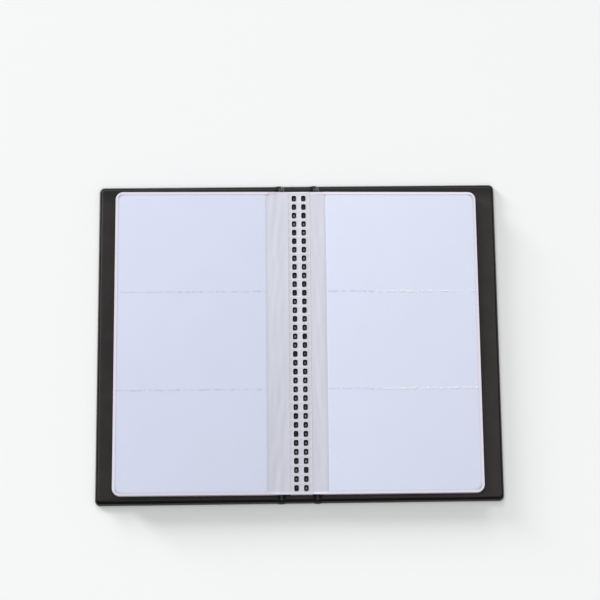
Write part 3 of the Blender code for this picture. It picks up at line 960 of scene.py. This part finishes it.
def front_film(side, outer, half_height, low_z, high_z):
    """The pocket film. Material 0 is clear, 1 the fused edge, 2 the two cross seams, 3 the pockets' lip."""
    white_inner = GUTTER_HALF_WIDTH + side * SHEET_OFFSET
    mouth = white_inner - POCKET_LIP
    film = leaf_sheet(mouth, outer, half_height, EDGE_SEAM)
    cut_loops(film, (white_inner,))
    for sign in (-1, 1):
        cut_loops(film, [sign * SEAM_OFFSET + edge for edge in SEAM_BAND + (-SEAM_HOLD, SEAM_HOLD)], axis=1)
    bands = []
    for face in film.faces:
        if abs(abs(face.calc_center_median().y) - SEAM_OFFSET) < SEAM_BAND[-1]:
            bands.append(face)
    for step in range(1, int((outer - mouth - EDGE_SEAM - EDGE_SLOPE) / SEAM_STATION)):
        edges = {edge for face in bands for edge in face.edges}
        corners = {corner for face in bands for corner in face.verts}
        cut = bmesh.ops.bisect_plane(
            film, geom=list(corners) + list(edges) + bands, plane_co=(mouth + step * SEAM_STATION, 0, 0),
            plane_no=(1, 0, 0), dist=CUT_TOLERANCE,
        )
        bands = [item for item in cut["geom"] if isinstance(item, bmesh.types.BMFace)]
    raise_sheet(film, high_z - low_z)
    for corner in film.verts:
        x, y, _ = corner.co
        from_edge = min(outer - x, half_height - abs(y))
        from_seam = abs(abs(y) - SEAM_OFFSET)
        corner.co.z += low_z
        if from_edge < EDGE_SEAM + EDGE_SLOPE / 2:
            corner.co.z -= RIM_PRESSED
        elif from_seam < SEAM_BAND[-1] - NEARLY:
            grip_place = (x * GRIPS_ALONG, math.copysign(GRIP_SEEDS[0], y), side * GRIP_SEEDS[1])
            grip = MEAN_GRIP + noise.noise(grip_place)
            groove = from_seam < SEAM_BAND[-2] / 2
            corner.co.z += -SEAM_GROOVE * grip if groove else SEAM_LIP * grip
        if from_seam < SEAM_BAND[-1] + NEARLY:
            wander_place = (x * WANDERS_ALONG, math.copysign(WANDER_SEEDS[0], y), side * WANDER_SEEDS[1])
            corner.co.y += SEAM_WANDER * noise.noise(wander_place)
    for face in film.faces:
        centre = face.calc_center_median()
        from_edge = min(outer - centre.x, half_height - abs(centre.y))
        from_seam = abs(abs(centre.y) - SEAM_OFFSET)
        on_top = face.normal.z > FACING_UP
        if from_edge < EDGE_SEAM + EDGE_SLOPE:
            face.material_index = 1
        elif centre.x < white_inner:
            face.material_index = 3
        elif from_seam < SEAM_BAND[-2] + SEAM_WANDER / 2 and len(face.verts) == 4 and on_top:
            face.material_index = 2
    set_side(film, side)
    return film


# The pocket film is thin enough to show the sheet under it, with only its gloss and a little haze of its own.
pocket_film, shader, place = new_material("clear_pocket_film", IOR=1.49, Alpha=0.10)
haze = add_node(
    pocket_film, "ShaderNodeTexNoise", {"Vector": place, "Scale": 1 / (CLING_PATCH * MM), "Detail": 3.0},
).outputs["Fac"]
colour = add_node(
    pocket_film, "ShaderNodeMix", {0: haze, 6: linear("#E4E7F2"), 7: linear("#EEF0F8")}, data_type="RGBA",
).outputs[2]
roughness = add_node(
    pocket_film, "ShaderNodeMapRange", {"Value": haze, "To Min": 0.16, "To Max": 0.28},
).outputs["Result"]
feed(pocket_film, shader, Base_Color=colour, Roughness=roughness)

# The bar of the cross seams bit unevenly: it left dashes of fused film, dull grey, with clearer film between
# them. Towards the fore-edge of the right-hand leaf their colour is painted white: a painted highlight.
SEAM_DASH = 3.0
SEAM_DASH_STRETCH = 0.3
SEAM_HIGHLIGHT_FROM = 36.0
SEAM_HIGHLIGHT_TO = 50.0
seam_film, shader, place = new_material("fused_cross_seam", IOR=1.49, Roughness=0.3)
along = add_node(
    seam_film, "ShaderNodeMapping", {"Vector": place, "Scale": (1.0, SEAM_DASH_STRETCH, SEAM_DASH_STRETCH)},
).outputs["Vector"]
dashes = add_node(
    seam_film, "ShaderNodeTexNoise", {"Vector": along, "Scale": 1 / (SEAM_DASH * MM), "Detail": 2.0},
).outputs["Fac"]
across = add_node(seam_film, "ShaderNodeSeparateXYZ", {"Vector": place}).outputs["X"]
# Painted highlight: the dashes turn white and denser towards the right-hand fore-edge.
painted_highlight = add_node(
    seam_film, "ShaderNodeMapRange",
    {"Value": across, "From Min": SEAM_HIGHLIGHT_FROM * MM, "From Max": SEAM_HIGHLIGHT_TO * MM},
).outputs["Result"]
colour = add_node(
    seam_film, "ShaderNodeMix", {0: painted_highlight, 6: linear("#BBC0D2"), 7: linear("#F8F8FC")}, data_type="RGBA",
).outputs[2]
densest_with_highlight = add_node(
    seam_film, "ShaderNodeMapRange", {"Value": painted_highlight, "To Min": 0.21, "To Max": 0.80},
).outputs["Result"]
cover = add_node(
    seam_film, "ShaderNodeMapRange",
    {"Value": dashes, "From Min": 0.40, "From Max": 0.58, "To Min": 0.07, "To Max": densest_with_highlight},
).outputs["Result"]
feed(seam_film, shader, Base_Color=colour, Alpha=cover)

film_lip = margin_film("doubled_film_at_mouth", 0.04, "#D0D4DE", "#C4C8D2")
top_margins = {
    "left": margin_film("clear_left_film", 0.92, "#DDDFEB", "#D0D1DD"),
    "right": margin_film("clear_right_film", 0.92, "#DADBE7", "#D2D3DF"),
}
top_whites = {
    "left": white_page("opaque_white_sheet_left", 0.55, "#DFE4F7", "#D5DAED"),
    "right": white_page("opaque_white_sheet_right", 0.55, "#E2E8F8", "#D9DEF0"),
}
for side_name, side in (("left", -1), ("right", 1)):
    body = f"{side_name}_leaf_01"
    rear_low, rear_high = node_box(f"{body}_rear_film")
    white_low, white_high = node_box(f"{body}_white_sheet")
    film_low, film_high = node_box(f"{body}_front_film")
    outer = max(side * rear_low.x, side * rear_high.x)

    shape = rear_film(side, outer, rear_high.y, (rear_low.z + rear_high.z) / 2)
    rear_materials = [top_margins[side_name], fused_edges[side_name]]
    film = new_piece(f"{body}_back_film", shape, rear_materials, smooth_angle=30)
    fold_at_root(film)
    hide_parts(f"{body}_rear_film")

    shape = white_sheet(side, outer, rear_high.y, white_low.z, white_high.z)
    sheet = new_piece(f"{body}_white", shape, [top_whites[side_name]], smooth_angle=30)
    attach(sheet, body)
    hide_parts(f"{body}_white_sheet")

    shape = front_film(side, outer, rear_high.y, film_low.z, film_high.z)
    film_materials = [pocket_film, fused_edges[side_name], seam_film, film_lip]
    pockets = new_piece(f"{body}_pockets", shape, film_materials, smooth_angle=15)
    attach(pockets, body)
    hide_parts(f"{body}_front_film")

# Floor. A plain pale table top that takes the book's soft shadow. It is a shade darker towards the light, so
# that the light's falling off leaves it evenly bright.
FLOOR_SIZE = 4.0
FLOOR_DROP = 0.05
FLOOR_REACH = 0.35
LIGHT_AZIMUTH = 27
floor_shape = bmesh.new()
bmesh.ops.create_grid(floor_shape, x_segments=1, y_segments=1, size=FLOOR_SIZE / 2)
bmesh.ops.translate(floor_shape, verts=floor_shape.verts, vec=(0, 0, -FLOOR_DROP * MM))
floor_mesh = bpy.data.meshes.new("table_top")
floor_shape.to_mesh(floor_mesh)
floor_shape.free()
table_top, shader, place = new_material("matt_white_table", Roughness=1.0, Specular_IOR_Level=0.0)
turned = add_node(
    table_top, "ShaderNodeMapping", {"Vector": place, "Rotation": (0, 0, math.radians(-LIGHT_AZIMUTH))},
).outputs["Vector"]
to_light = add_node(table_top, "ShaderNodeSeparateXYZ", {"Vector": turned}).outputs["Y"]
nearness = add_node(
    table_top, "ShaderNodeMapRange", {"Value": to_light, "From Min": -FLOOR_REACH, "From Max": FLOOR_REACH},
).outputs["Result"]
colour = add_node(
    table_top, "ShaderNodeMix", {0: nearness, 6: linear("#FDFEFE"), 7: linear("#ECEDED")}, data_type="RGBA",
).outputs[2]
feed(table_top, shader, Base_Color=colour)
floor_mesh.materials.append(table_top)
floor = bpy.data.objects.new("table_top", floor_mesh)
bpy.context.scene.collection.objects.link(floor)

# Light. Two wide soft lamps stand low behind the book, one almost straight and one on its left, in a room
# that is evenly bright all round. A lamp's azimuth turns from straight behind the book to its left.
LAMP_DISTANCE = 3.6
LAMPS = (
    {"name": "back_lamp", "azimuth": 8, "elevation": 22, "diameter": 1.66, "power": 45.0},
    {"name": "left_lamp", "azimuth": 50, "elevation": 12, "diameter": 1.14, "power": 134.0},
)
ROOM_STRENGTH = 0.67
for lamp in LAMPS:
    lamp_data = bpy.data.lights.new(lamp["name"], "AREA")
    lamp_data.shape = "DISK"
    lamp_data.size = lamp["diameter"]
    lamp_data.energy = lamp["power"]
    lamp_object = bpy.data.objects.new(lamp["name"], lamp_data)
    azimuth = math.radians(lamp["azimuth"])
    elevation = math.radians(lamp["elevation"])
    flat_reach = math.cos(elevation)
    direction = Vector((-flat_reach * math.sin(azimuth), flat_reach * math.cos(azimuth), math.sin(elevation)))
    lamp_object.location = direction * LAMP_DISTANCE
    lamp_object.rotation_euler = direction.to_track_quat("Z", "Y").to_euler()
    bpy.context.scene.collection.objects.link(lamp_object)
room = bpy.data.worlds.new("even_room")
room.use_nodes = True
room.node_tree.nodes["Background"].inputs["Color"].default_value = (1, 1, 1, 1)
room.node_tree.nodes["Background"].inputs["Strength"].default_value = ROOM_STRENGTH
bpy.context.scene.world = room
bpy.context.scene.view_settings.view_transform = "Standard"

# Camera. It looks down on the pages from a little towards the tail, with a long lens. Its place is measured
# along its own directions: to its right, up its picture and back from the book.
CAMERA_TILT = 13.64
CAMERA_LEAN = -0.25
CAMERA_ROLL = -0.57
CAMERA_PLACE = (1.1, 25.35, 1129.0)
LENS = 114
SENSOR = 36
camera_data = bpy.data.cameras.new("camera")
camera_data.lens = LENS
camera_data.sensor_width = SENSOR
camera = bpy.data.objects.new("camera", camera_data)
camera.rotation_euler = [math.radians(angle) for angle in (CAMERA_TILT, CAMERA_LEAN, CAMERA_ROLL)]
camera.location = camera.rotation_euler.to_matrix() @ (Vector(CAMERA_PLACE) * MM)
bpy.context.scene.collection.objects.link(camera)
bpy.context.scene.camera = camera
